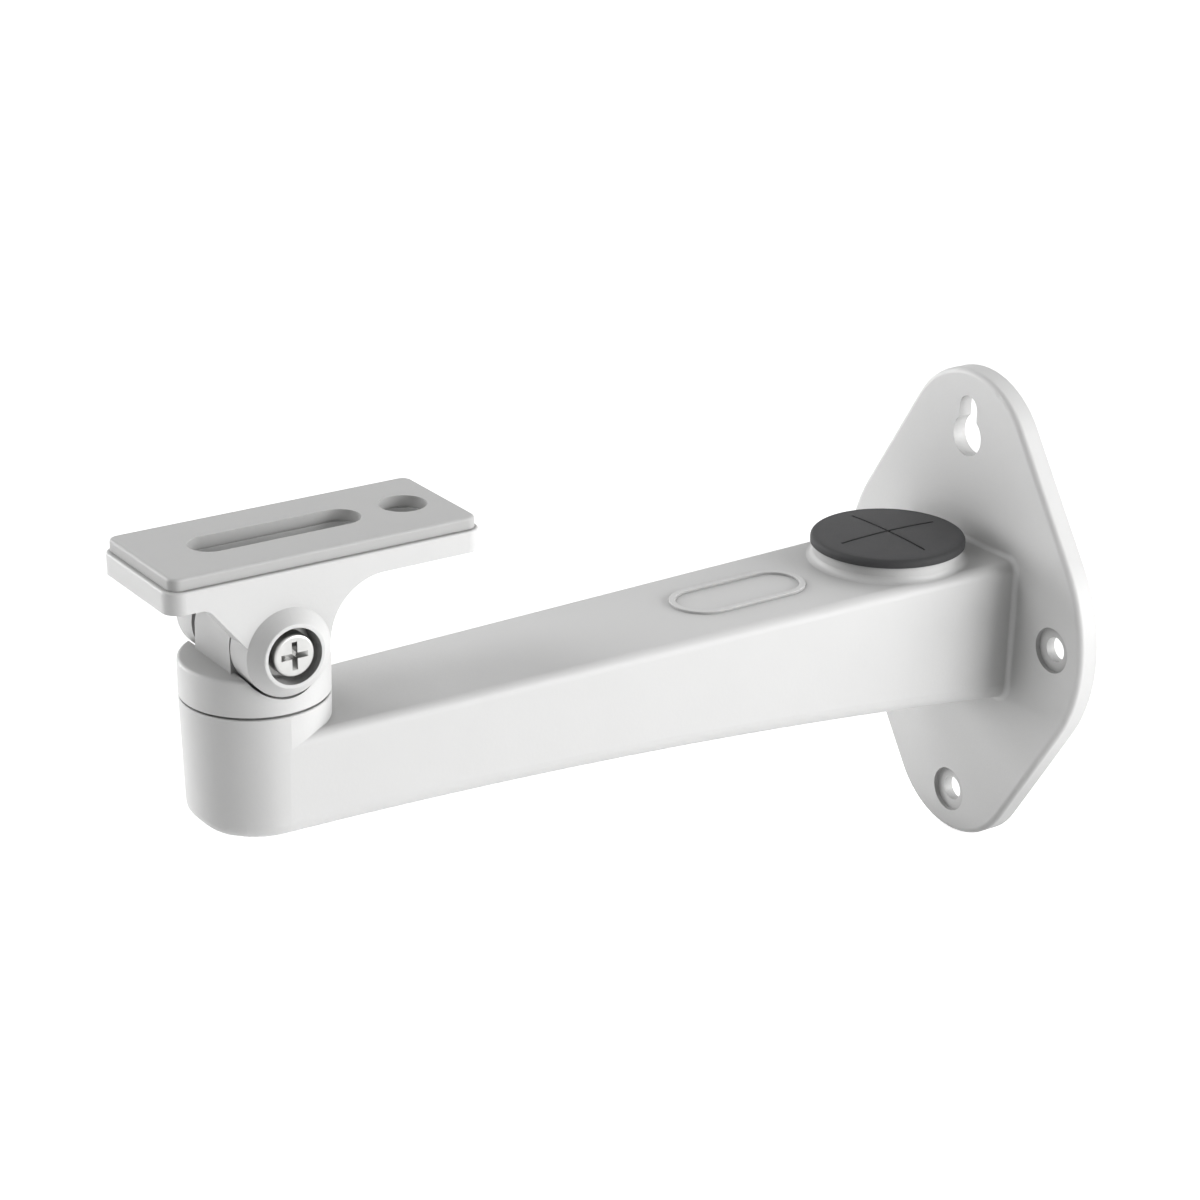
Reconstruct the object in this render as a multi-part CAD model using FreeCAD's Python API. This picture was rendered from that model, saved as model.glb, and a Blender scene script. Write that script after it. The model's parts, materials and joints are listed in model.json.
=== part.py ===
"""Camera wall bracket: a hollow die-cast arm on a wall plate, a head that pans on the arm's
tip, and a camera platform that tilts on the head.

Frame: millimetres. The origin is the middle of the wall plate's back face, +Z is up, the wall
is the plane Y = 0 and the arm reaches out along -Y. The castings are symmetric about X = 0,
apart from the seats of the tilt bolt: its head is on the +X side and its nut on the -X side.
"""
import FreeCAD, Part
import math
import os

from FreeCAD import Vector

X_AXIS = Vector(1, 0, 0)
Y_AXIS = Vector(0, 1, 0)
Z_AXIS = Vector(0, 0, 1)

# Wall plate
PLATE_HEIGHT = 95.0
PLATE_WIDTH = 70.2
PLATE_THICKNESS = 4.2
PLATE_END_RADIUS = 18.0
PLATE_SIDE_RADIUS = 30.5
PLATE_EDGE_ROUND = 1.1
PLATE_RIM_WIDTH = 3.0
PLATE_POCKET_DEPTH = 1.3

# Holes for the wall screws
SIDE_HOLE_SPACING = 54.4
BOTTOM_HOLE_DROP = 39.1
SCREW_HOLE_RADIUS = 2.4
SCREW_SEAT_RADIUS = 4.4
SCREW_SEAT_DEPTH = 1.0
KEYHOLE_HEAD_RISE = 34.6
KEYHOLE_TRAVEL = 5.4
KEYHOLE_HEAD_RADIUS = 4.0
KEYHOLE_NECK_RADIUS = 2.5

# Arm
ARM_REACH = 156.0
ARM_ROOT_WIDTH = 33.0
ARM_ROOT_TOP = 14.2
ARM_TOP_FALL = 1.3
ARM_TIP_BOTTOM = -5.3
ARM_BOTTOM_DROP = 9.8
ARM_DRAFT_ANGLE = 1.55
ARM_TOP_ROUND = 2.0
ARM_BOTTOM_ROUND = 3.5
ARM_NOSE_ROUND = 5.4
ARM_ROOT_FILLET = 1.0
ARM_WALL = 3.0
ARM_CORE_ROUND = 1.5
CORE_END_WALL = 3.0

# Boss at the arm's tip, which carries the pan joint
TIP_RADIUS = 12.75
SEAM_HEIGHT = 17.1
SEAM_GAP = 0.4
SEAM_GAP_DEPTH = 1.2
SEAM_CHAMFER = 0.15
PILOT_RADIUS = 7.0
PILOT_HEIGHT = 1.5
PILOT_SIDE_GAP = 0.08
PILOT_END_GAP = 0.2

# Collar on the arm's top and the rubber grommet that closes it
COLLAR_DISTANCE = 22.4
COLLAR_RADIUS = 14.1
COLLAR_TOP = 16.9
COLLAR_WALL = 1.8
COLLAR_FOOT_FILLET = 1.2
GROMMET_OVERHANG = 0.5
GROMMET_RIM = 1.5
GROMMET_CROWN = 0.6
GROMMET_EDGE_ROUND = 0.8
GROMMET_SKIRT_WALL = 1.0
GROMMET_SKIRT_DEPTH = 4.5
GROMMET_SKIRT_GAP = 0.05
GROMMET_SLIT_LENGTH = 22.0
GROMMET_SLIT_WIDTH = 0.5

# Raised rim on the arm's top, bare inside
RIM_DISTANCE = 57.1
RIM_LENGTH = 28.0
RIM_WIDTH = 12.5
RIM_LINE = 1.2
RIM_HEIGHT = 0.5
RIM_ROUND = 0.2

# Pan bolt, from below through the tip boss into the swivel
PAN_BOLT_RADIUS = 2.5
PAN_BOLT_REACH = 5.8
PAN_BOLT_END_GAP = 0.6
PAN_HOLE_GAP = 0.08
PAN_HEAD_RADIUS = 4.25
PAN_HEAD_HEIGHT = 3.3
PAN_HEAD_SINK = 0.8
PAN_SPRING_RADIUS = 4.3
PAN_SPRING_THICKNESS = 1.3
PAN_WASHER_RADIUS = 5.0
PAN_WASHER_THICKNESS = 1.0
PAN_POCKET_GAP = 0.4

# Swivel
LEDGE_HEIGHT = 7.0
LEDGE_ROUND = 0.7
PIVOT_HEIGHT = 11.3
TONGUE_THICKNESS = 13.3
TONGUE_RADIUS = 7.5
TONGUE_DRAFT_ANGLE = 3.0
SCOOP_GAP = 0.45

# Camera platform
PLATFORM_WIDTH = 25.5
PLATFORM_FRONT = 20.8
PLATFORM_REAR = 37.2
PLATFORM_RISE = 14.05
PLATFORM_THICKNESS = 3.8
PLATFORM_CORNER_RADIUS = 3.0
PLATFORM_EDGE_ROUND = 0.4
CHEEK_GAP = 0.35
CHEEK_RADIUS = 7.7
CHEEK_BOSS_HEIGHT = 2.15
CHEEK_BOSS_TOP_RADIUS = 5.5
CHEEK_BOSS_ROUND = 0.3
CHEEK_FRONT_FOOT = 14.0
CHEEK_FRONT_ANGLE = 51.0
CHEEK_FRONT_FILLET = 2.5

# Slot and round hole for the camera's screw, measured rearwards from the pan axis
SLOT_START = -7.0
SLOT_END = 16.5
SLOT_RADIUS = 3.5
ROUND_HOLE_PLACE = 28.8
ROUND_HOLE_RADIUS = 3.8

# Rubber pad on the platform
PAD_THICKNESS = 2.1
PAD_INSET = 0.8
PAD_CORNER_RADIUS = 1.8
PAD_EDGE_ROUND = 0.5
PAD_FOOT_ROUND = 0.15
PAD_HOLE_MARGIN = 0.35

# Tilt bolt, across the cheeks and the tongue
TILT_BOLT_RADIUS = 2.0
TILT_BOLT_STANDOUT = 0.3
TILT_HOLE_GAP = 0.08
TILT_HEAD_RADIUS = 3.7
TILT_HEAD_HEIGHT = 2.6
TILT_HEAD_SINK = 0.2
TILT_RECESS_RADIUS = 4.9
TILT_SPRING_RADIUS = 3.6
TILT_SPRING_THICKNESS = 1.0
TILT_WASHER_RADIUS = 4.5
TILT_WASHER_THICKNESS = 0.8
NUT_ACROSS_FLATS = 7.0
NUT_HEIGHT = 3.2
NUT_SINK = 0.8
NUT_POCKET_GAP = 0.1

# Details that the fasteners share
HEAD_EDGE_ROUND = 0.5
CROSS_SPAN = 4.9
CROSS_TIP_SPAN = 2.0
CROSS_WING_WIDTH = 1.0
CROSS_DEPTH = 1.6
BOLT_END_CHAMFER = 0.5
NUT_CHAMFER_ANGLE = 30.0
WASHER_HOLE_GAP = 0.15
SPRING_SPLIT_WIDTH = 0.6
SPRING_SPLIT_ANGLE = 25.0

# Places worked out from the sizes above
PAN_AXIS = Vector(0, -ARM_REACH, 0)
PIVOT = Vector(0, -ARM_REACH, SEAM_HEIGHT + PIVOT_HEIGHT)
COLLAR_AXIS = Vector(0, -COLLAR_DISTANCE, 0)
COLLAR_BORE = COLLAR_RADIUS - COLLAR_WALL
TONGUE_HALF = TONGUE_THICKNESS / 2
CHEEK_INNER = TONGUE_HALF + CHEEK_GAP
PLATFORM_HALF = PLATFORM_WIDTH / 2
BOSS_FACE = PLATFORM_HALF + CHEEK_BOSS_HEIGHT
UNDERSIDE_RISE = PLATFORM_RISE - PLATFORM_THICKNESS
PAN_HEAD_SEAT = ARM_TIP_BOTTOM + PAN_HEAD_SINK + PAN_HEAD_HEIGHT
PAN_SPRING_SEAT = PAN_HEAD_SEAT + PAN_SPRING_THICKNESS
PAN_SEAT = PAN_SPRING_SEAT + PAN_WASHER_THICKNESS
PAN_BOLT_TIP = SEAM_HEIGHT + PAN_BOLT_REACH
TILT_HEAD_SEAT = BOSS_FACE - TILT_HEAD_SINK - TILT_HEAD_HEIGHT
TILT_SPRING_SEAT = TILT_HEAD_SEAT - TILT_SPRING_THICKNESS
TILT_SEAT = TILT_SPRING_SEAT - TILT_WASHER_THICKNESS
NUT_FACE = BOSS_FACE - NUT_SINK
NUT_SEAT = NUT_FACE - NUT_HEIGHT
TILT_BOLT_LENGTH = TILT_HEAD_SEAT + NUT_FACE + TILT_BOLT_STANDOUT

# How far a cutting body runs past what it cuts, how far off "far away" is, and how close to a
# surface a point counts as on it
OVERRUN = 1.0
FAR = 100.0
NEAR = 0.01


def prism(edges, along):
    """The solid between a closed outline and its copy moved by the vector along."""
    return Part.Face(Part.Wire(Part.__sortEdges__(edges))).extrude(along)


def arc(start, middle, end):
    return Part.Arc(start, middle, end).toShape()


def disc(radius, base, along):
    """A cylinder that starts at the base point and is as long as the vector along."""
    return Part.makeCylinder(radius, along.Length, base, along)


def ring(outer, inner, base, along):
    return disc(outer, base, along).cut(disc(inner, base - along, along * 3))


def slot(radius, start, end, along):
    """A slot-shaped solid round two end centres."""
    ahead = (end - start) * (radius / start.distanceToPoint(end))
    side = ahead.cross(along) * (1 / along.Length)
    return prism([
        Part.makeLine(start + side, end + side),
        arc(end + side, end + ahead, end - side),
        Part.makeLine(end - side, start - side),
        arc(start - side, start - ahead, start + side),
    ], along)


def block(x_half, y_low, y_high, z_low, z_high):
    """A box that is symmetric about X = 0."""
    return Part.makeBox(2 * x_half, y_high - y_low, z_high - z_low, Vector(-x_half, y_low, z_low))


def rounded_block(x_half, y_low, y_high, z_low, z_high, radius):
    """A box with round upright edges."""
    box = block(x_half, y_low, y_high, z_low, z_high)
    return box.makeFillet(radius, [edge for edge in box.Edges if is_upright(edge)])


def is_upright(edge):
    ends = [vertex.Point for vertex in edge.Vertexes]
    return abs(ends[0].z - ends[-1].z) > NEAR


def polygon(points):
    """The flat face inside a closed chain of straight lines."""
    return Part.Face(Part.makePolygon(points + points[:1]))


def edges_where(shape, test):
    """The edges whose every probed point passes the test."""
    edges = [edge for edge in shape.Edges if not edge.Degenerated]
    return [edge for edge in edges if all(test(point) for point in edge.discretize(5))]


def at_height(z):
    """A test that is true for points at one height."""
    return lambda point: abs(point.z - z) < NEAR


def corner_arc(before, corner, after, radius):
    """The start, middle and end of the arc that rounds a corner between two straight lines."""
    back = (before - corner) * (1 / before.distanceToPoint(corner))
    ahead = (after - corner) * (1 / after.distanceToPoint(corner))
    half_angle = back.getAngle(ahead) / 2
    setback = radius / math.tan(half_angle)
    inward = (back + ahead) * (1 / (back + ahead).Length)
    middle = corner + inward * (radius / math.sin(half_angle) - radius)
    return corner + back * setback, middle, corner + ahead * setback


def plate_outline(inset):
    """The wall plate's outline at the wall: end arcs and side arcs joined by tangent lines."""
    end_radius = PLATE_END_RADIUS - inset
    side_radius = PLATE_SIDE_RADIUS - inset
    end_centre = Vector(0, 0, PLATE_HEIGHT / 2 - PLATE_END_RADIUS)
    side_centre = Vector(PLATE_WIDTH / 2 - PLATE_SIDE_RADIUS, 0, 0)
    distance = end_centre.distanceToPoint(side_centre)
    along = (side_centre - end_centre) * (1 / distance)
    across = along.cross(Y_AXIS)
    lean = (end_radius - side_radius) / distance
    outward = along * lean + across * math.sqrt(1 - lean * lean)
    end_point = end_centre + outward * end_radius
    side_point = side_centre + outward * side_radius
    tip = end_centre + Z_AXIS * end_radius
    flank = side_centre + X_AXIS * side_radius

    def mirrored(point, x_sign, z_sign):
        return Vector(point.x * x_sign, 0, point.z * z_sign)

    edges = []
    for sign in (1, -1):
        left, right = mirrored(end_point, -1, sign), mirrored(end_point, 1, sign)
        edges.append(arc(left, mirrored(tip, 1, sign), right))
        edges.append(Part.makeLine(left, mirrored(side_point, -1, sign)))
        edges.append(Part.makeLine(right, mirrored(side_point, 1, sign)))
        low, high = mirrored(side_point, sign, -1), mirrored(side_point, sign, 1)
        edges.append(arc(low, mirrored(flank, sign, 1), high))
    return edges


def wall_plate():
    """The plate before its back is hollowed."""
    plate = prism(plate_outline(0), -Y_AXIS * PLATE_THICKNESS)
    front_edges = edges_where(plate, lambda point: abs(point.y + PLATE_THICKNESS) < NEAR)
    return plate.makeFillet(PLATE_EDGE_ROUND, front_edges)


def screw_hole(x, z):
    """Cutter for a wall screw's hole and the shallow round seat of its head."""
    start = Vector(x, -PLATE_THICKNESS - OVERRUN, z)
    hole = disc(SCREW_HOLE_RADIUS, start, Y_AXIS * (PLATE_THICKNESS + 2 * OVERRUN))
    seat = disc(SCREW_SEAT_RADIUS, start, Y_AXIS * (SCREW_SEAT_DEPTH + OVERRUN))
    return hole.fuse(seat)


def keyhole():
    """Cutter for the keyhole: its wide end is below, so the plate drops onto the screw."""
    head = Vector(0, -PLATE_THICKNESS - OVERRUN, KEYHOLE_HEAD_RISE)
    through = Y_AXIS * (PLATE_THICKNESS + 2 * OVERRUN)
    neck = slot(KEYHOLE_NECK_RADIUS, head, head + Z_AXIS * KEYHOLE_TRAVEL, through)
    return neck.fuse(disc(KEYHOLE_HEAD_RADIUS, head, through))


def side_normal():
    """The way the arm's right side faces, seen from above: it is tangent to the round tip."""
    reach = Vector(ARM_ROOT_WIDTH / 2, 0, 0) - PAN_AXIS
    angle = math.atan2(reach.y, reach.x) - math.acos(TIP_RADIUS / reach.Length)
    return Vector(math.cos(angle), math.sin(angle), 0)


def tip_radius(z, inset=0.0):
    """Radius of the round tip, whose draft makes it smaller below the seam."""
    draft = math.tan(math.radians(ARM_DRAFT_ANGLE))
    return TIP_RADIUS - (SEAM_HEIGHT - z) * draft - inset


def arm_half_width(y, z, inset=0.0):
    """Half the arm's width at a place between the wall and the tip."""
    normal = side_normal()
    return (tip_radius(z, inset) - normal.y * (y + ARM_REACH)) / normal.x


def tip_cone(low, high, inset=0.0):
    """The round tip between two heights."""
    base = PAN_AXIS + Z_AXIS * low
    return Part.makeCone(tip_radius(low, inset), tip_radius(high, inset), high - low, base, Z_AXIS)


def arm_top(y):
    """Height of the arm's flat top, which falls slightly towards the tip."""
    return ARM_ROOT_TOP + ARM_TOP_FALL * y / ARM_REACH


def arm_underside(y):
    """Height of the arm's underside: level at the pan axis, one large arc from there to the wall."""
    radius = (ARM_REACH ** 2 + ARM_BOTTOM_DROP ** 2) / (2 * ARM_BOTTOM_DROP)
    run = y + ARM_REACH
    return ARM_TIP_BOTTOM - radius + math.sqrt(radius ** 2 - run ** 2)


def arm_sides(z, inset, root):
    """Corners of the arm's straight part at one height: two at the root, two at the tip."""
    half = arm_half_width(root, z, inset)
    touch = PAN_AXIS + side_normal() * tip_radius(z, inset)
    return [
        Vector(-half, root, z), Vector(half, root, z),
        Vector(touch.x, touch.y, z), Vector(-touch.x, touch.y, z),
    ]


def arm_plan(inset, root):
    """The arm from above: straight sides that are tangent to the round tip, all with draft."""
    low, high = ARM_TIP_BOTTOM - ARM_BOTTOM_DROP - OVERRUN, SEAM_HEIGHT
    lower, upper = arm_sides(low, inset, root), arm_sides(high, inset, root)
    faces = [polygon(lower), polygon(upper)]
    for near, far in ((0, 1), (1, 2), (2, 3), (3, 0)):
        faces.append(polygon([lower[near], lower[far], upper[far], upper[near]]))
    straight = Part.Solid(Part.Shell(faces))
    return straight.fuse(tip_cone(low, high, inset)).removeSplitter()


def arm_side_view(inset, root):
    """The arm from the side: a straight top, a round nose and the arc of the underside."""
    front = -ARM_REACH - TIP_RADIUS
    middle = (root - ARM_REACH) / 2

    def top(y):
        return Vector(-FAR, y, arm_top(y) - inset)

    def bottom(y):
        return Vector(-FAR, y, arm_underside(y) + inset)

    nose_foot = Vector(-FAR, front + ARM_NOSE_ROUND, ARM_TIP_BOTTOM + inset)
    nose_centre = nose_foot + Z_AXIS * ARM_NOSE_ROUND
    nose_middle = nose_centre - (Y_AXIS + Z_AXIS) * (ARM_NOSE_ROUND * math.sqrt(0.5))
    nose_top = nose_centre - Y_AXIS * ARM_NOSE_ROUND
    return prism([
        Part.makeLine(top(root), top(front)),
        Part.makeLine(top(front), nose_top),
        arc(nose_top, nose_middle, nose_foot),
        Part.makeLine(nose_foot, bottom(-ARM_REACH)),
        arc(bottom(-ARM_REACH), bottom(middle), bottom(root)),
        Part.makeLine(bottom(root), top(root)),
    ], X_AXIS * 2 * FAR)


def arm_blank():
    """The outside of the arm from inside the wall plate to the tip, with its edges rounded."""
    root = -PLATE_THICKNESS / 2
    blank = arm_plan(0, root).common(arm_side_view(0, root))

    def beside(point):
        if point.y > -ARM_REACH + side_normal().y * TIP_RADIUS:
            return abs(abs(point.x) - arm_half_width(point.y, point.z)) < NEAR
        return abs(math.hypot(point.x, point.y + ARM_REACH) - tip_radius(point.z)) < NEAR

    def on_lower_edge(point):
        return beside(point) and point.z < ARM_TIP_BOTTOM + ARM_NOSE_ROUND

    def on_upper_edge(point):
        return beside(point) and abs(point.z - arm_top(point.y)) < NEAR

    blank = blank.makeFillet(ARM_BOTTOM_ROUND, edges_where(blank, on_lower_edge))
    return blank.makeFillet(ARM_TOP_ROUND, edges_where(blank, on_upper_edge))


def tip_boss():
    """The round boss that stands above the arm's top and carries the swivel."""
    boss = tip_cone(0, SEAM_HEIGHT)
    return boss.makeChamfer(SEAM_CHAMFER, edges_where(boss, at_height(SEAM_HEIGHT)))


def add_collar(arm):
    """The arm with the collar on its top and the fillet round the collar's foot."""
    arm = arm.fuse(disc(COLLAR_RADIUS, COLLAR_AXIS, Z_AXIS * COLLAR_TOP)).removeSplitter()

    def at_foot(point):
        radius = math.hypot(point.x, point.y + COLLAR_DISTANCE)
        return abs(radius - COLLAR_RADIUS) < NEAR and point.z < COLLAR_TOP - NEAR

    return arm.makeFillet(COLLAR_FOOT_FILLET, edges_where(arm, at_foot))


def raised_rim():
    """The raised slot-shaped rim, parallel to the arm's sloping top."""
    centre = Vector(0, -RIM_DISTANCE, arm_top(-RIM_DISTANCE))
    radius = RIM_WIDTH / 2
    half_run = Y_AXIS * (RIM_LENGTH / 2 - radius)
    base = centre - Z_AXIS * RIM_HEIGHT
    upward = Z_AXIS * 2 * RIM_HEIGHT
    rim = slot(radius, base - half_run, base + half_run, upward)
    rim = rim.cut(slot(radius - RIM_LINE, base - half_run, base + half_run, upward))
    rim = rim.makeFillet(RIM_ROUND, edges_where(rim, at_height(centre.z + RIM_HEIGHT)))
    rim.rotate(centre, X_AXIS, math.degrees(math.atan2(ARM_TOP_FALL, ARM_REACH)))
    return rim


def add_plate(arm):
    """The arm with its wall plate and the fillet round the arm's root."""
    casting = arm.fuse(wall_plate()).removeSplitter()

    def at_root(point):
        if abs(point.y + PLATE_THICKNESS) > NEAR or abs(point.x) > ARM_ROOT_WIDTH / 2:
            return False
        return arm_underside(point.y) - NEAR < point.z < arm_top(point.y) + NEAR

    return casting.makeFillet(ARM_ROOT_FILLET, edges_where(casting, at_root))


def arm_core():
    """The hollow of the arm, open at the wall."""
    core = arm_plan(ARM_WALL, OVERRUN).common(arm_side_view(ARM_WALL, OVERRUN))
    end = -ARM_REACH + TIP_RADIUS + CORE_END_WALL
    core = core.common(block(FAR, end, FAR, -FAR, FAR))
    inner_edges = [edge for edge in core.Edges if edge.BoundBox.YMin < -PLATE_THICKNESS]
    return core.makeFillet(ARM_CORE_ROUND, inner_edges)


def pan_cavity():
    """Cutter for the pan bolt's head pocket, its hole and the recess of the swivel's pilot."""
    pocket_radius = PAN_WASHER_RADIUS + PAN_POCKET_GAP
    below = PAN_AXIS + Z_AXIS * (ARM_TIP_BOTTOM - OVERRUN)
    pocket = disc(pocket_radius, below, Z_AXIS * (PAN_SEAT - below.z))
    hole = disc(PAN_BOLT_RADIUS + PAN_HOLE_GAP, below, Z_AXIS * (SEAM_HEIGHT - below.z))
    floor = PAN_AXIS + Z_AXIS * (SEAM_HEIGHT - PILOT_HEIGHT - PILOT_END_GAP)
    recess = disc(PILOT_RADIUS + PILOT_SIDE_GAP, floor, Z_AXIS * (SEAM_HEIGHT + OVERRUN - floor.z))
    return pocket.fuse([hole, recess])


def arm_casting():
    """Wall plate, arm, tip boss and collar, in one die casting."""
    arm = arm_blank().fuse(tip_boss()).removeSplitter()
    casting = add_plate(add_collar(arm)).fuse(raised_rim())
    cutters = [
        prism(plate_outline(PLATE_RIM_WIDTH), -Y_AXIS * PLATE_POCKET_DEPTH),
        arm_core(),
        disc(COLLAR_BORE, COLLAR_AXIS, Z_AXIS * (COLLAR_TOP + OVERRUN)),
        pan_cavity(),
        screw_hole(SIDE_HOLE_SPACING / 2, 0),
        screw_hole(-SIDE_HOLE_SPACING / 2, 0),
        screw_hole(0, -BOTTOM_HOLE_DROP),
        keyhole(),
    ]
    return casting.cut(cutters)


def cable_grommet():
    """The rubber disc on the collar, crowned, with a skirt inside the collar and a cross slit."""
    seat = COLLAR_AXIS + Z_AXIS * COLLAR_TOP
    radius = COLLAR_RADIUS + GROMMET_OVERHANG
    rim_top = seat.z + GROMMET_RIM
    crown_radius = (radius ** 2 + GROMMET_CROWN ** 2) / (2 * GROMMET_CROWN)
    crown_centre = COLLAR_AXIS + Z_AXIS * (rim_top + GROMMET_CROWN - crown_radius)
    cap = disc(radius, seat, Z_AXIS * (GROMMET_RIM + GROMMET_CROWN))
    cap = cap.common(Part.makeSphere(crown_radius, crown_centre))
    cap = cap.makeFillet(GROMMET_EDGE_ROUND, edges_where(cap, at_height(rim_top)))
    skirt_radius = COLLAR_BORE - GROMMET_SKIRT_GAP
    skirt_inner = skirt_radius - GROMMET_SKIRT_WALL
    skirt = ring(skirt_radius, skirt_inner, seat, -Z_AXIS * GROMMET_SKIRT_DEPTH)
    grommet = cap.fuse(skirt)
    half_slit = GROMMET_SLIT_LENGTH / 2
    half_width = GROMMET_SLIT_WIDTH / 2
    for x_half, y_half in ((half_slit, half_width), (half_width, half_slit)):
        low, high = seat.y - y_half, seat.y + y_half
        grommet = grommet.cut(block(x_half, low, high, seat.z - OVERRUN, rim_top + FAR))
    return grommet


def bolt_hole_across(radius):
    """Cutter for the tilt bolt's hole through everything between the cheeks' faces."""
    return disc(radius, PIVOT - X_AXIS * FAR, X_AXIS * 2 * FAR)


def swivel_tongue():
    """The upright tongue, from inside the swivel's drum: a round top, and sides with draft."""
    side = Y_AXIS * TONGUE_RADIUS
    centre = PIVOT - X_AXIS * FAR
    foot = centre - Z_AXIS * (PIVOT_HEIGHT - LEDGE_HEIGHT / 2)
    tongue = prism([
        Part.makeLine(foot - side, foot + side),
        Part.makeLine(foot + side, centre + side),
        arc(centre + side, centre + Z_AXIS * TONGUE_RADIUS, centre - side),
        Part.makeLine(centre - side, foot - side),
    ], X_AXIS * 2 * FAR)
    height = PIVOT.z + TONGUE_RADIUS + OVERRUN - foot.z
    top_half = TONGUE_HALF - height * math.tan(math.radians(TONGUE_DRAFT_ANGLE))
    behind = PIVOT.y + TONGUE_RADIUS + OVERRUN
    drafted = polygon([
        Vector(-TONGUE_HALF, behind, foot.z), Vector(TONGUE_HALF, behind, foot.z),
        Vector(top_half, behind, foot.z + height), Vector(-top_half, behind, foot.z + height),
    ])
    return tongue.common(drafted.extrude(-Y_AXIS * 2 * (TONGUE_RADIUS + OVERRUN)))


def swivel_drum(seam):
    """The drum, held clear of the tip boss by a smaller foot, and scooped out for the cheeks."""
    base = seam + Z_AXIS * SEAM_GAP
    drum = disc(TIP_RADIUS, base, Z_AXIS * (LEDGE_HEIGHT - SEAM_GAP))
    drum = drum.makeFillet(LEDGE_ROUND, edges_where(drum, at_height(seam.z + LEDGE_HEIGHT)))
    drum = drum.makeChamfer(SEAM_CHAMFER, edges_where(drum, at_height(base.z)))
    for side in (X_AXIS, -X_AXIS):
        scoop = disc(CHEEK_RADIUS + SCOOP_GAP, PIVOT + side * TONGUE_HALF, side * FAR)
        drum = drum.cut(scoop)
    return drum.fuse(disc(TIP_RADIUS - SEAM_GAP_DEPTH, seam, Z_AXIS * (SEAM_GAP + OVERRUN)))


def pan_swivel():
    """The head that turns on the tip boss and holds the tongue of the tilt joint."""
    seam = PAN_AXIS + Z_AXIS * SEAM_HEIGHT
    pilot = disc(PILOT_RADIUS, seam - Z_AXIS * PILOT_HEIGHT, Z_AXIS * (PILOT_HEIGHT + OVERRUN))
    swivel = swivel_drum(seam).fuse([swivel_tongue(), pilot]).removeSplitter()
    thread_start = seam - Z_AXIS * (PILOT_HEIGHT + OVERRUN)
    thread_end = PAN_BOLT_TIP + PAN_BOLT_END_GAP
    thread = disc(PAN_BOLT_RADIUS, thread_start, Z_AXIS * (thread_end - thread_start.z))
    return swivel.cut([thread, bolt_hole_across(TILT_BOLT_RADIUS + TILT_HOLE_GAP)])


def beside_pivot(rearward, upward):
    """A point in the middle plane, given from the pivot."""
    return PIVOT + Y_AXIS * rearward + Z_AXIS * upward


def cheek_front_line():
    """The cheek's straight front edge: its ends on the plate's underside and on the round cheek."""
    angle = math.radians(CHEEK_FRONT_ANGLE)
    top = Vector(0, -CHEEK_FRONT_FOOT, UNDERSIDE_RISE)
    down = Vector(0, math.cos(angle), -math.sin(angle))
    nearest = -top.dot(down)
    miss = (top + down * nearest).Length
    bottom = top + down * (nearest - math.sqrt(CHEEK_RADIUS ** 2 - miss ** 2))
    return PIVOT + top, PIVOT + bottom


def platform_side_view():
    """Outline of the platform and its cheeks from the side, in the middle plane."""
    front_top = beside_pivot(-PLATFORM_FRONT, PLATFORM_RISE)
    front_low = beside_pivot(-PLATFORM_FRONT, UNDERSIDE_RISE)
    rear_top = beside_pivot(PLATFORM_REAR, PLATFORM_RISE)
    rear_low = beside_pivot(PLATFORM_REAR, UNDERSIDE_RISE)
    sweep_centre = beside_pivot(CHEEK_RADIUS + UNDERSIDE_RISE, 0)
    sweep_start = sweep_centre + Z_AXIS * UNDERSIDE_RISE
    sweep_middle = sweep_centre + (Z_AXIS - Y_AXIS) * (UNDERSIDE_RISE * math.sqrt(0.5))
    cheek_rear = beside_pivot(CHEEK_RADIUS, 0)
    cheek_low = beside_pivot(0, -CHEEK_RADIUS)
    line_top, line_bottom = cheek_front_line()
    fillet = corner_arc(line_bottom, line_top, front_low, CHEEK_FRONT_FILLET)
    return [
        Part.makeLine(front_top, rear_top),
        Part.makeLine(rear_top, rear_low),
        Part.makeLine(rear_low, sweep_start),
        arc(sweep_start, sweep_middle, cheek_rear),
        arc(cheek_rear, cheek_low, line_bottom),
        Part.makeLine(line_bottom, fillet[0]),
        arc(*fillet),
        Part.makeLine(fillet[2], front_low),
        Part.makeLine(front_low, front_top),
    ]


def platform_blank():
    """The platform with its cheeks, before the bolt's bosses and holes."""
    edges = platform_side_view()
    for edge in edges:
        edge.translate(-X_AXIS * PLATFORM_HALF)
    blank = prism(edges, X_AXIS * PLATFORM_WIDTH)
    front, rear = PIVOT.y - PLATFORM_FRONT, PIVOT.y + PLATFORM_REAR
    plan = rounded_block(PLATFORM_HALF, front, rear, 0, FAR, PLATFORM_CORNER_RADIUS)
    blank = blank.common(plan)
    top = PIVOT.z + PLATFORM_RISE
    blank = blank.makeFillet(PLATFORM_EDGE_ROUND, edges_where(blank, at_height(top)))
    underside = PIVOT.z + UNDERSIDE_RISE
    return blank.cut(block(CHEEK_INNER, -FAR * 2, FAR, 0, underside))


def cheek_boss(side):
    """The boss on the outside of one cheek: a cone, with the bolt's or nut's seat in its top."""
    base = PIVOT + side * PLATFORM_HALF
    boss = Part.makeCone(CHEEK_RADIUS, CHEEK_BOSS_TOP_RADIUS, CHEEK_BOSS_HEIGHT, base, side)
    return boss.makeFillet(CHEEK_BOSS_ROUND, circles_at(boss, base + side * CHEEK_BOSS_HEIGHT, side))


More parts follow.
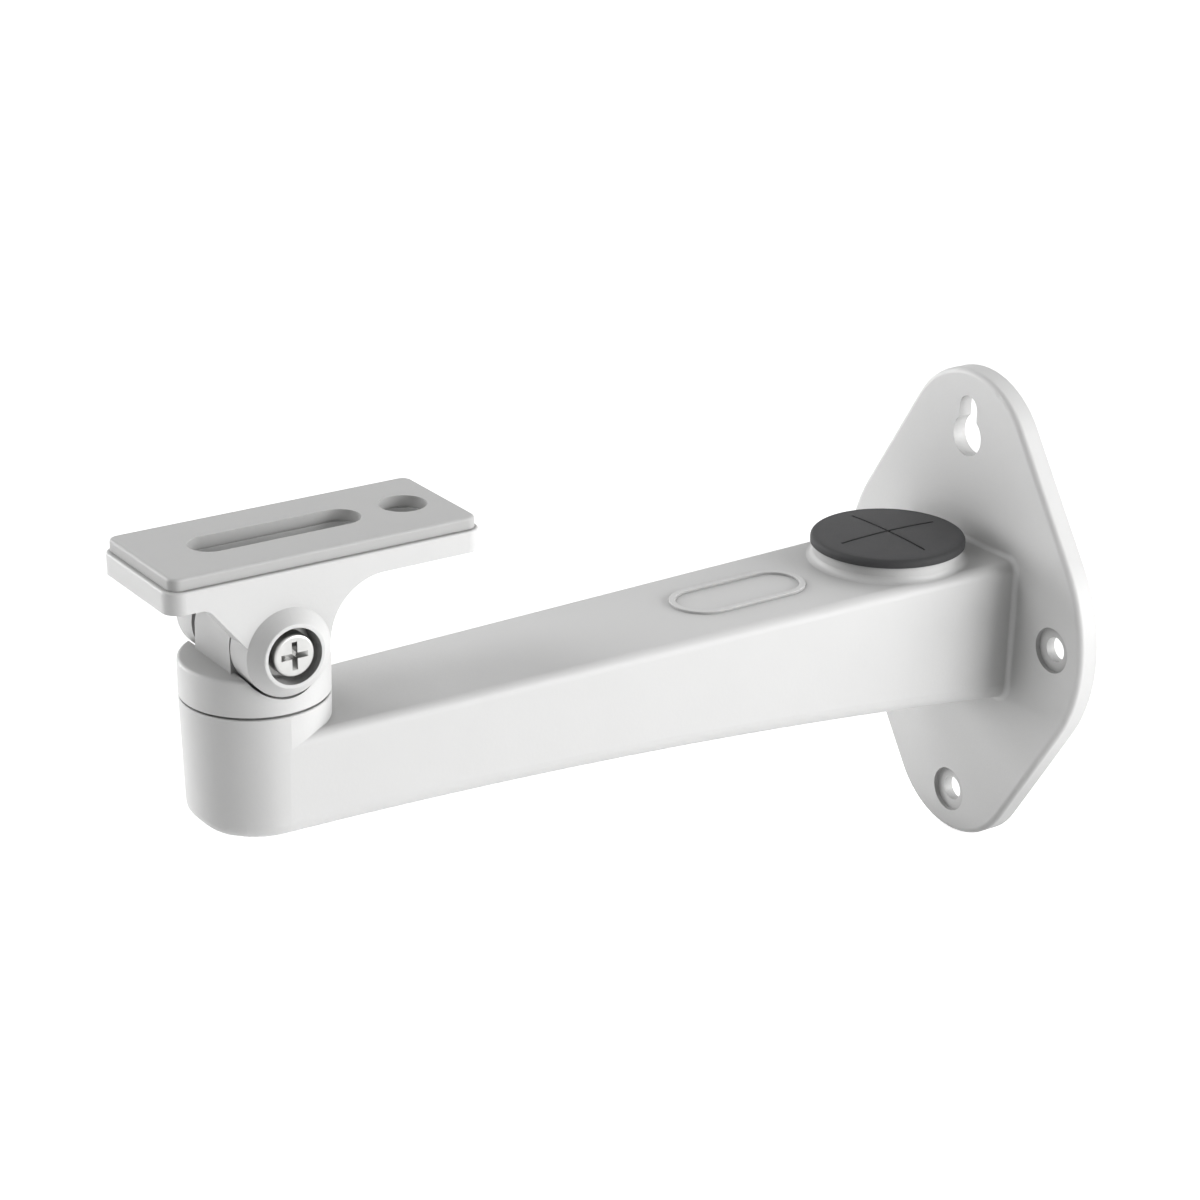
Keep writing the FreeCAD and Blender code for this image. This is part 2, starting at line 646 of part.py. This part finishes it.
def hexagon(across_flats, x, thickness):
    """A six-sided prism on the tilt axis, with two flats level."""
    corner_radius = across_flats / math.sqrt(3)
    points = []
    for corner in range(7):
        angle = math.radians(60 * corner)
        spoke = Vector(0, math.cos(angle), math.sin(angle)) * corner_radius
        points.append(PIVOT + X_AXIS * x + spoke)
    return Part.Face(Part.makePolygon(points)).extrude(X_AXIS * thickness)


def camera_platform():
    """The plate under the camera, its two cheeks and the seats of the tilt bolt and nut."""
    platform = platform_blank().fuse([cheek_boss(X_AXIS), cheek_boss(-X_AXIS)]).removeSplitter()
    low = PIVOT.z + UNDERSIDE_RISE - OVERRUN
    upward = Z_AXIS * (PLATFORM_THICKNESS + 2 * OVERRUN)
    start = Vector(0, PIVOT.y + SLOT_START, low)
    end = Vector(0, PIVOT.y + SLOT_END, low)
    round_hole = Vector(0, PIVOT.y + ROUND_HOLE_PLACE, low)
    return platform.cut([
        bolt_hole_across(TILT_BOLT_RADIUS + TILT_HOLE_GAP),
        disc(TILT_RECESS_RADIUS, PIVOT + X_AXIS * TILT_SEAT, X_AXIS * FAR),
        hexagon(NUT_ACROSS_FLATS + 2 * NUT_POCKET_GAP, -NUT_SEAT, -FAR),
        slot(SLOT_RADIUS, start, end, upward),
        disc(ROUND_HOLE_RADIUS, round_hole, upward),
    ])


def platform_pad():
    """The rubber pad between the platform and the camera."""
    low = PIVOT.z + PLATFORM_RISE
    top = low + PAD_THICKNESS
    front = PIVOT.y - PLATFORM_FRONT + PAD_INSET
    rear = PIVOT.y + PLATFORM_REAR - PAD_INSET
    pad = rounded_block(PLATFORM_HALF - PAD_INSET, front, rear, low, top, PAD_CORNER_RADIUS)
    pad = pad.makeFillet(PAD_EDGE_ROUND, edges_where(pad, at_height(top)))
    pad = pad.makeFillet(PAD_FOOT_ROUND, edges_where(pad, at_height(low)))
    start = Vector(0, PIVOT.y + SLOT_START, low - OVERRUN)
    end = Vector(0, PIVOT.y + SLOT_END, low - OVERRUN)
    round_hole = Vector(0, PIVOT.y + ROUND_HOLE_PLACE, low - OVERRUN)
    upward = Z_AXIS * (PAD_THICKNESS + 2 * OVERRUN)
    return pad.cut([
        slot(SLOT_RADIUS + PAD_HOLE_MARGIN, start, end, upward),
        disc(ROUND_HOLE_RADIUS + PAD_HOLE_MARGIN, round_hole, upward),
    ])


def cross_recess(head_top, outward):
    """Cutter for a cross recess whose wings taper towards its bottom."""
    bottom = head_top - outward * CROSS_DEPTH
    recess = []
    for across in (Y_AXIS, outward.cross(Y_AXIS)):
        side = across.cross(outward) * (CROSS_WING_WIDTH / 2)
        half_top = across * (CROSS_SPAN / 2)
        half_tip = across * (CROSS_TIP_SPAN / 2)
        outline = [head_top - half_top, head_top + half_top, bottom + half_tip, bottom - half_tip]
        points = [point - side for point in outline + outline[:1]]
        recess.append(Part.Face(Part.makePolygon(points)).extrude(side * 2))
    return recess


def cheese_head_bolt(seat, outward, radius, length, head_radius, head_height):
    """A bolt whose head rests on the seat point and points along the unit vector outward."""
    shank = disc(radius, seat - outward * length, outward * length)
    shank = shank.makeChamfer(BOLT_END_CHAMFER, circles_at(shank, seat - outward * length, outward))
    head = disc(head_radius, seat, outward * head_height)
    head_top = seat + outward * head_height
    head = head.makeFillet(HEAD_EDGE_ROUND, circles_at(head, head_top, outward))
    return shank.fuse(head).cut(cross_recess(head_top, outward))


def circles_at(shape, centre, normal):
    """The edges that lie in the plane through the centre."""
    return edges_where(shape, lambda point: abs((point - centre).dot(normal)) < NEAR)


def spring_washer(base, along, radius, bolt_radius):
    """A ring that is split by a slanted cut."""
    washer = ring(radius, bolt_radius + WASHER_HOLE_GAP, base, along)
    centre = base + along * 0.5
    gap = Part.makeBox(2 * radius, SPRING_SPLIT_WIDTH, 4 * along.Length)
    gap.translate(Vector(0, -SPRING_SPLIT_WIDTH / 2, -2 * along.Length))
    gap.rotate(Vector(), X_AXIS, SPRING_SPLIT_ANGLE)
    gap.Placement = FreeCAD.Placement(centre, FreeCAD.Rotation(Z_AXIS, along)) * gap.Placement
    return washer.cut(gap)


def pan_bolt():
    length = PAN_BOLT_TIP - PAN_HEAD_SEAT
    seat = PAN_AXIS + Z_AXIS * PAN_HEAD_SEAT
    return cheese_head_bolt(seat, -Z_AXIS, PAN_BOLT_RADIUS, length, PAN_HEAD_RADIUS, PAN_HEAD_HEIGHT)


def pan_spring_washer():
    base = PAN_AXIS + Z_AXIS * PAN_HEAD_SEAT
    return spring_washer(base, Z_AXIS * PAN_SPRING_THICKNESS, PAN_SPRING_RADIUS, PAN_BOLT_RADIUS)


def pan_flat_washer():
    base = PAN_AXIS + Z_AXIS * PAN_SPRING_SEAT
    inner = PAN_BOLT_RADIUS + WASHER_HOLE_GAP
    return ring(PAN_WASHER_RADIUS, inner, base, Z_AXIS * PAN_WASHER_THICKNESS)


def tilt_bolt():
    seat = PIVOT + X_AXIS * TILT_HEAD_SEAT
    return cheese_head_bolt(
        seat, X_AXIS, TILT_BOLT_RADIUS, TILT_BOLT_LENGTH, TILT_HEAD_RADIUS, TILT_HEAD_HEIGHT
    )


def tilt_spring_washer():
    base = PIVOT + X_AXIS * TILT_HEAD_SEAT
    return spring_washer(base, -X_AXIS * TILT_SPRING_THICKNESS, TILT_SPRING_RADIUS, TILT_BOLT_RADIUS)


def tilt_flat_washer():
    base = PIVOT + X_AXIS * TILT_SEAT
    inner = TILT_BOLT_RADIUS + WASHER_HOLE_GAP
    return ring(TILT_WASHER_RADIUS, inner, base, X_AXIS * TILT_WASHER_THICKNESS)


def tilt_nut():
    """The hexagon nut in the far cheek, with its corners bevelled on the outer face."""
    nut = hexagon(NUT_ACROSS_FLATS, -NUT_SEAT, -NUT_HEIGHT)
    flat_radius = NUT_ACROSS_FLATS / 2
    spread = NUT_HEIGHT / math.tan(math.radians(NUT_CHAMFER_ANGLE))
    face = PIVOT - X_AXIS * NUT_FACE
    cone = Part.makeCone(flat_radius, flat_radius + spread, NUT_HEIGHT, face, X_AXIS)
    return nut.common(cone).cut(bolt_hole_across(TILT_BOLT_RADIUS))


NODES = {
    "arm_casting": arm_casting,
    "cable_grommet": cable_grommet,
    "pan_swivel": pan_swivel,
    "pan_bolt": pan_bolt,
    "pan_spring_washer": pan_spring_washer,
    "pan_flat_washer": pan_flat_washer,
    "camera_platform": camera_platform,
    "platform_pad": platform_pad,
    "tilt_bolt": tilt_bolt,
    "tilt_spring_washer": tilt_spring_washer,
    "tilt_flat_washer": tilt_flat_washer,
    "tilt_nut": tilt_nut,
}


def main():
    os.makedirs("parts", exist_ok=True)
    for name, build in NODES.items():
        build().exportStep(f"parts/{name}.step")


main()
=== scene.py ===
"""Looks for the camera wall bracket: paint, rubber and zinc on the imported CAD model, with the
photograph's camera and a plain white studio. Lengths are metres, in the model's own frame."""

import json
import math

import bpy
from mathutils import Matrix, Vector


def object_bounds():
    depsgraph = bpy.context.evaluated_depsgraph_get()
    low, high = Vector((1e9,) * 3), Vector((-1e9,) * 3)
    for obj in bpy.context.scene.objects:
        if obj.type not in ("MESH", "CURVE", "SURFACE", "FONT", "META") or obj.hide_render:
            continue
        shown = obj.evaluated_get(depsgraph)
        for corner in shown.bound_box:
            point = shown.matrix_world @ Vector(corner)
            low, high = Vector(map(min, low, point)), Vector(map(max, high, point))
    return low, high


# Camera, as the photograph was taken
CAMERA_PLACE = Vector((0.423748, -0.368139, 0.218951))
CAMERA_RIGHT = Vector((0.55003358, 0.83511908, 0.00625910))
CAMERA_UP = Vector((-0.30946153, 0.19684774, 0.93031421))
CAMERA_BACK = Vector((0.77569106, -0.51364101, 0.36671010))
LENS_MM = 92.341
SENSOR_MM = 36.0
SHIFT_X = 0.00083
SHIFT_Y = 0.0006
CLIP_START = 0.01
CLIP_END = 20.0

# Studio
WHITE = (1.0, 1.0, 1.0, 1.0)
AIM = Vector((0.0, -0.09, 0.0))
FLOOR_SIDE = 6.0
FLOOR_GAP = 0.0005
FLOOR_COLOUR = (0.86, 0.86, 0.86, 1.0)
FLOOR_LIFT = 0.7
FLOOR_LIT_RADIUS = 0.35
FLOOR_WHITE_RADIUS = 1.0
AMBIENT = 0.12

# Lamps: name, azimuth and elevation in degrees, distance and side in metres, power in watts.
# Azimuth 0 is in front of the bracket, on the -Y side, and 90 is on its +X side.
LAMPS = (
    ("lamp_right", 120.0, 10.0, 1.2, 0.6, 8.6),
    ("lamp_behind_right", 150.0, 10.0, 1.2, 0.6, 7.1),
    ("lamp_left_high", -30.0, 45.0, 1.2, 0.6, 4.2),
    ("lamp_left_low", -60.0, 10.0, 1.2, 0.6, 8.3),
    ("lamp_behind_left", -120.0, 45.0, 1.2, 0.6, 1.1),
)

# Colours: a dark and a light one where a surface is mottled
PAINT_DARK = (0.80, 0.80, 0.795)
PAINT_LIGHT = (0.825, 0.825, 0.82)
PAD_DARK = (0.66, 0.66, 0.655)
PAD_LIGHT = (0.695, 0.695, 0.69)
# Painted shade on the pad's upright sides
PAD_SIDE_SHADE = (0.565, 0.565, 0.56)
RUBBER_DARK = (0.053, 0.053, 0.055)
RUBBER_LIGHT = (0.070, 0.070, 0.072)
# Painted shade along the grommet's cut and round its rim
RUBBER_SHADE = (0.030, 0.030, 0.031)
ZINC_DARK = (0.52, 0.52, 0.51)
ZINC_LIGHT = (0.62, 0.62, 0.61)

# Painted shade in hollows: how far a surface looks for others that shade it, in creases and in wide
# corners, with how many rays, the open share of its view below which it gets no darker, and the
# share of each colour that is taken off it as painted shade there
CREASE_REACH = 0.007
CORNER_REACH = 0.03
HOLLOW_RAYS = 8
DEEPEST_VIEW = 0.5
PAINT_CORNER_LOSS = 0.26
PAINT_CREASE_LOSS = 0.22
PAD_CREASE_LOSS = 0.17
ZINC_CREASE_LOSS = 0.35

# Grommet: its axis, the cross cut in it, its soft rim, and how much of the painted shade both take
GROMMET_AXIS = (0.0, -0.0224, 0.0)
CUT_HALF_LENGTH = 0.0112
CUT_LIP = 0.0013
CUT_SHADE = 0.5
RIM_START = 0.0125
RIM_END = 0.0144
RIM_SHADE = 0.45


def new_node(tree, kind, **values):
    """A new node with the values set on its inputs or properties."""
    node = tree.nodes.new(kind)
    for name, value in values.items():
        if name in node.inputs:
            node.inputs[name].default_value = value
        else:
            setattr(node, name, value)
    return node


def new_material(name, **sockets):
    """A material with one Principled shader, whose sockets are given with _ for each space."""
    material = bpy.data.materials.new(name)
    material.use_nodes = True
    shader = material.node_tree.nodes["Principled BSDF"]
    for socket, value in sockets.items():
        shader.inputs[socket.replace("_", " ")].default_value = value
    return material, material.node_tree, shader


def place_in(tree, system):
    """The shaded point in one of the coordinate systems of a node tree."""
    return tree.nodes.new("ShaderNodeTexCoord").outputs[system]


def object_noise(tree, scale, detail):
    """Noise in the object's own coordinates."""
    noise = new_node(tree, "ShaderNodeTexNoise", Scale=scale, Detail=detail)
    tree.links.new(place_in(tree, "Object"), noise.inputs["Vector"])
    return noise.outputs["Fac"]


def sum_of(tree, operation, *inputs):
    """The result of a sum on other nodes' values and plain numbers."""
    node = new_node(tree, "ShaderNodeMath", operation=operation)
    for socket, value in zip(node.inputs, inputs):
        if isinstance(value, float):
            socket.default_value = value
        else:
            tree.links.new(value, socket)
    return node.outputs[0]


def parts_of(tree, vector):
    """The X, Y and Z of a vector, as sockets by name."""
    apart = tree.nodes.new("ShaderNodeSeparateXYZ")
    tree.links.new(vector, apart.inputs["Vector"])
    return apart.outputs


def spread(tree, value, low, high, start=0.0, end=1.0, course="LINEAR"):
    """The value's run from start to end, spread from low to high and held at both."""
    ramp = new_node(tree, "ShaderNodeMapRange", interpolation_type=course)
    ramp.inputs["From Min"].default_value = start
    ramp.inputs["From Max"].default_value = end
    ramp.inputs["To Min"].default_value = low
    ramp.inputs["To Max"].default_value = high
    tree.links.new(value, ramp.inputs["Value"])
    return ramp.outputs["Result"]


def tint(tree, value, dark, light):
    """A colour between dark and light, each a plain colour or another node's."""
    mix = new_node(tree, "ShaderNodeMix", data_type="RGBA")
    for name, colour in (("A", dark), ("B", light)):
        if isinstance(colour, tuple):
            mix.inputs[name].default_value = (*colour, 1.0)
        else:
            tree.links.new(colour, mix.inputs[name])
    tree.links.new(value, mix.inputs["Factor"])
    return mix.outputs["Result"]


def painted_shade_in_hollows(tree, colour, loss, reach):
    """Painted shade: the colour, less up to the given share of itself where other surfaces stand
    close by.
    """
    hollow = new_node(tree, "ShaderNodeAmbientOcclusion", Distance=reach, samples=HOLLOW_RAYS)
    shade = new_node(tree, "ShaderNodeMix", data_type="RGBA", blend_type="MULTIPLY")
    shade.inputs["Factor"].default_value = 1.0
    # painted shade: the colour is multiplied down where the surface's view is closed in
    kept = spread(tree, hollow.outputs["AO"], 1.0 - loss, 1.0, start=DEEPEST_VIEW)
    tree.links.new(colour, shade.inputs["A"])
    tree.links.new(kept, shade.inputs["B"])
    return shade.outputs["Result"]


def bump(tree, height, distance, strength, before=None):
    """A surface direction that follows the height, on top of an earlier one where it is given."""
    node = new_node(tree, "ShaderNodeBump", Distance=distance, Strength=strength)
    tree.links.new(height, node.inputs["Height"])
    if before:
        tree.links.new(before, node.inputs["Normal"])
    return node.outputs["Normal"]


def powder_coat():
    """Satin white powder coat: fine orange peel, hardly any change of tone, and painted shade in
    wide corners and creases.
    """
    material, tree, shader = new_material("white_powder_coat", Specular_IOR_Level=0.45)
    mottle = object_noise(tree, scale=90.0, detail=3.0)
    peel = object_noise(tree, scale=1500.0, detail=1.0)
    grain = object_noise(tree, scale=5200.0, detail=1.0)
    paint = tint(tree, mottle, PAINT_DARK, PAINT_LIGHT)
    # painted shade in wide corners and in creases
    paint = painted_shade_in_hollows(tree, paint, PAINT_CORNER_LOSS, CORNER_REACH)
    paint = painted_shade_in_hollows(tree, paint, PAINT_CREASE_LOSS, CREASE_REACH)
    coarse = bump(tree, peel, distance=0.00003, strength=0.35)
    fine = bump(tree, grain, distance=0.000006, strength=0.3, before=coarse)
    tree.links.new(paint, shader.inputs["Base Color"])
    tree.links.new(spread(tree, mottle, low=0.42, high=0.52), shader.inputs["Roughness"])
    tree.links.new(fine, shader.inputs["Normal"])
    return material


def level_share(tree):
    """1 on surfaces that face straight up or down in the object's own frame, 0 on upright ones,
    which take painted shade on the pad.
    """
    return sum_of(tree, "ABSOLUTE", parts_of(tree, place_in(tree, "Normal"))["Z"])


def grey_rubber():
    """The pad: matt grey sheet with a fine moulded grain, painted shade that darkens its upright
    sides, and painted shade in its creases.
    """
    material, tree, shader = new_material("grey_rubber_sheet", Specular_IOR_Level=0.6)
    cloud = object_noise(tree, scale=160.0, detail=4.0)
    grain = object_noise(tree, scale=4200.0, detail=2.0)
    skin = tint(tree, cloud, PAD_DARK, PAD_LIGHT)
    # painted shade: the upright sides darker than the top and bottom
    sheet = tint(tree, level_share(tree), PAD_SIDE_SHADE, skin)
    # painted shade in creases
    sheet = painted_shade_in_hollows(tree, sheet, PAD_CREASE_LOSS, CREASE_REACH)
    fine = bump(tree, grain, distance=0.00002, strength=0.4)
    tree.links.new(sheet, shader.inputs["Base Color"])
    tree.links.new(spread(tree, grain, low=0.5, high=0.65), shader.inputs["Roughness"])
    tree.links.new(fine, shader.inputs["Normal"])
    return material


def grommet_places(tree):
    """The distance from the nearer line of the cross cut, and from the grommet's axis."""
    centred = new_node(tree, "ShaderNodeVectorMath", operation="SUBTRACT")
    centred.inputs[1].default_value = GROMMET_AXIS
    tree.links.new(place_in(tree, "Object"), centred.inputs[0])
    parts = parts_of(tree, centred.outputs["Vector"])
    sides = [sum_of(tree, "ABSOLUTE", parts[name]) for name in "XY"]
    squares = [sum_of(tree, "POWER", side, 2.0) for side in sides]
    radius = sum_of(tree, "SQRT", sum_of(tree, "ADD", *squares))
    return sum_of(tree, "MINIMUM", *sides), radius


def dark_rubber():
    """The grommet: moulded dark rubber with a satin skin, and painted shade along its cut and round
    its rim.
    """
    material, tree, shader = new_material("dark_moulded_rubber", Specular_IOR_Level=0.35)
    cloud = object_noise(tree, scale=240.0, detail=4.0)
    grain = object_noise(tree, scale=3600.0, detail=2.0)
    across, radius = grommet_places(tree)
    cut_start = CUT_HALF_LENGTH - CUT_LIP
    inside = spread(tree, radius, 1.0, 0.0, cut_start, CUT_HALF_LENGTH, "SMOOTHSTEP")
    lip = spread(tree, across, CUT_SHADE, 0.0, 0.0, CUT_LIP, "SMOOTHSTEP")
    rim = spread(tree, radius, 0.0, RIM_SHADE, RIM_START, RIM_END, "SMOOTHSTEP")
    skin = tint(tree, cloud, RUBBER_DARK, RUBBER_LIGHT)
    # painted shade along the cut and round the rim
    skin = tint(tree, sum_of(tree, "MULTIPLY", inside, lip), skin, RUBBER_SHADE)
    skin = tint(tree, rim, skin, RUBBER_SHADE)
    fine = bump(tree, grain, distance=0.00002, strength=0.35)
    tree.links.new(skin, shader.inputs["Base Color"])
    tree.links.new(spread(tree, grain, low=0.6, high=0.75), shader.inputs["Roughness"])
    tree.links.new(fine, shader.inputs["Normal"])
    return material


def zinc_plate():
    """Bright zinc plate with fine turning marks, and painted shade in its creases."""
    material, tree, shader = new_material("bright_zinc_plate", Metallic=1.0)
    cloud = object_noise(tree, scale=700.0, detail=3.0)
    marks = object_noise(tree, scale=9000.0, detail=2.0)
    metal = tint(tree, cloud, ZINC_DARK, ZINC_LIGHT)
    # painted shade in creases
    metal = painted_shade_in_hollows(tree, metal, ZINC_CREASE_LOSS, CREASE_REACH)
    fine = bump(tree, marks, distance=0.000008, strength=0.4)
    tree.links.new(metal, shader.inputs["Base Color"])
    tree.links.new(spread(tree, cloud, low=0.24, high=0.36), shader.inputs["Roughness"])
    tree.links.new(fine, shader.inputs["Normal"])
    return material


def dress(frame):
    """Give every CAD node the material of its slot in the record."""
    looks = {
        "white_paint": powder_coat(),
        "grey_rubber": grey_rubber(),
        "dark_rubber": dark_rubber(),
        "zinc_steel": zinc_plate(),
    }
    for part in frame["record"]["subparts"]:
        for slot in frame["nodes"][part["node"]].material_slots:
            slot.material = looks[part["material_slot"]]


def add_camera():
    """The camera that took the photograph."""
    data = bpy.data.cameras.new("camera")
    data.lens = LENS_MM
    data.sensor_width = SENSOR_MM
    data.shift_x = SHIFT_X
    data.shift_y = SHIFT_Y
    data.clip_start = CLIP_START
    data.clip_end = CLIP_END
    camera = bpy.data.objects.new("camera", data)
    turn = Matrix((CAMERA_RIGHT, CAMERA_UP, CAMERA_BACK)).transposed()
    camera.matrix_world = Matrix.Translation(CAMERA_PLACE) @ turn.to_4x4()
    bpy.context.collection.objects.link(camera)
    bpy.context.scene.camera = camera


def seen_directly(tree):
    """1 where the camera sees a surface, also in gloss or through glass, and 0 for its light."""
    path = tree.nodes.new("ShaderNodeLightPath")
    seen = path.outputs["Is Camera Ray"]
    for name in ("Is Glossy Ray", "Is Transmission Ray"):
        seen = sum_of(tree, "MAXIMUM", seen, path.outputs[name])
    return seen


def by_sight(tree, lighting, visible):
    """One shader for the light that a surface gives, and another where it is seen."""
    pick = tree.nodes.new("ShaderNodeMixShader")
    tree.links.new(seen_directly(tree), pick.inputs["Fac"])
    tree.links.new(lighting, pick.inputs[1])
    tree.links.new(visible, pick.inputs[2])
    return pick.outputs["Shader"]


def floor_lift(tree):
    """How strongly the floor glows: enough for white with the lamps' light, and alone far out."""
    distance = new_node(tree, "ShaderNodeVectorMath", operation="LENGTH")
    tree.links.new(place_in(tree, "Object"), distance.inputs[0])
    radius = distance.outputs["Value"]
    return spread(tree, radius, FLOOR_LIFT, 1.0, FLOOR_LIT_RADIUS, FLOOR_WHITE_RADIUS, "SMOOTHSTEP")


def floor_material():
    """A matt pale grey that is lifted to white for the camera and adds no light of its own."""
    material = bpy.data.materials.new("pale_floor")
    material.use_nodes = True
    tree = material.node_tree
    tree.nodes.clear()
    out = tree.nodes.new("ShaderNodeOutputMaterial")
    matt = new_node(tree, "ShaderNodeBsdfDiffuse", Color=FLOOR_COLOUR)
    glow = tree.nodes.new("ShaderNodeEmission")
    dark = new_node(tree, "ShaderNodeEmission", Strength=0.0)
    total = tree.nodes.new("ShaderNodeAddShader")
    tree.links.new(floor_lift(tree), glow.inputs["Strength"])
    lift = by_sight(tree, dark.outputs["Emission"], glow.outputs["Emission"])
    tree.links.new(matt.outputs["BSDF"], total.inputs[0])
    tree.links.new(lift, total.inputs[1])
    tree.links.new(total.outputs["Shader"], out.inputs["Surface"])
    return material


def add_floor(lowest):
    """A plain pale floor that the camera sees as white, apart from the shadow on it."""
    half = FLOOR_SIDE / 2
    height = lowest - FLOOR_GAP
    around = ((-half, -half), (half, -half), (half, half), (-half, half))
    corners = [(x, y, height) for x, y in around]
    mesh = bpy.data.meshes.new("floor")
    mesh.from_pydata(corners, [], [(0, 1, 2, 3)])
    mesh.materials.append(floor_material())
    floor = bpy.data.objects.new("floor", mesh)
    bpy.context.collection.objects.link(floor)


def add_world():
    """A white surround to look at, and a softer grey one that lights the bracket."""
    world = bpy.data.worlds.new("studio")
    world.use_nodes = True
    tree = world.node_tree
    tree.nodes.clear()
    out = tree.nodes.new("ShaderNodeOutputWorld")
    lighting = new_node(tree, "ShaderNodeBackground", Color=WHITE, Strength=AMBIENT)
    visible = new_node(tree, "ShaderNodeBackground", Color=WHITE, Strength=1.0)
    both = by_sight(tree, lighting.outputs["Background"], visible.outputs["Background"])
    tree.links.new(both, out.inputs["Surface"])
    bpy.context.scene.world = world


def add_lamp(name, azimuth, elevation, distance, side, power):
    """A square lamp that faces the bracket."""
    around, rise = math.radians(azimuth), math.radians(elevation)
    level = math.cos(rise)
    out = Vector((math.sin(around) * level, -math.cos(around) * level, math.sin(rise)))
    data = bpy.data.lights.new(name, "AREA")
    data.shape = "SQUARE"
    data.size = side
    data.energy = power
    lamp = bpy.data.objects.new(name, data)
    turn = out.to_track_quat("Z", "Y").to_matrix().to_4x4()
    lamp.matrix_world = Matrix.Translation(AIM + out * distance) @ turn
    bpy.context.collection.objects.link(lamp)


with open("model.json") as file:
    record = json.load(file)
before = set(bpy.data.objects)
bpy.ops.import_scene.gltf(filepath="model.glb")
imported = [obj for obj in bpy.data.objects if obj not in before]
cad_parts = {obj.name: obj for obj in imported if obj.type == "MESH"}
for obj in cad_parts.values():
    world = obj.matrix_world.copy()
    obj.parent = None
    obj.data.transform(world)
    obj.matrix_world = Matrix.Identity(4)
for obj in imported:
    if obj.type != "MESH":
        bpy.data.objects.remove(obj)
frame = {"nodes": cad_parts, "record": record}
cad_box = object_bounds()
bpy.context.scene.view_settings.view_transform = "Standard"
dress(frame)
add_camera()
add_floor(cad_box[0][2])
add_world()
for lamp in LAMPS:
    add_lamp(*lamp)
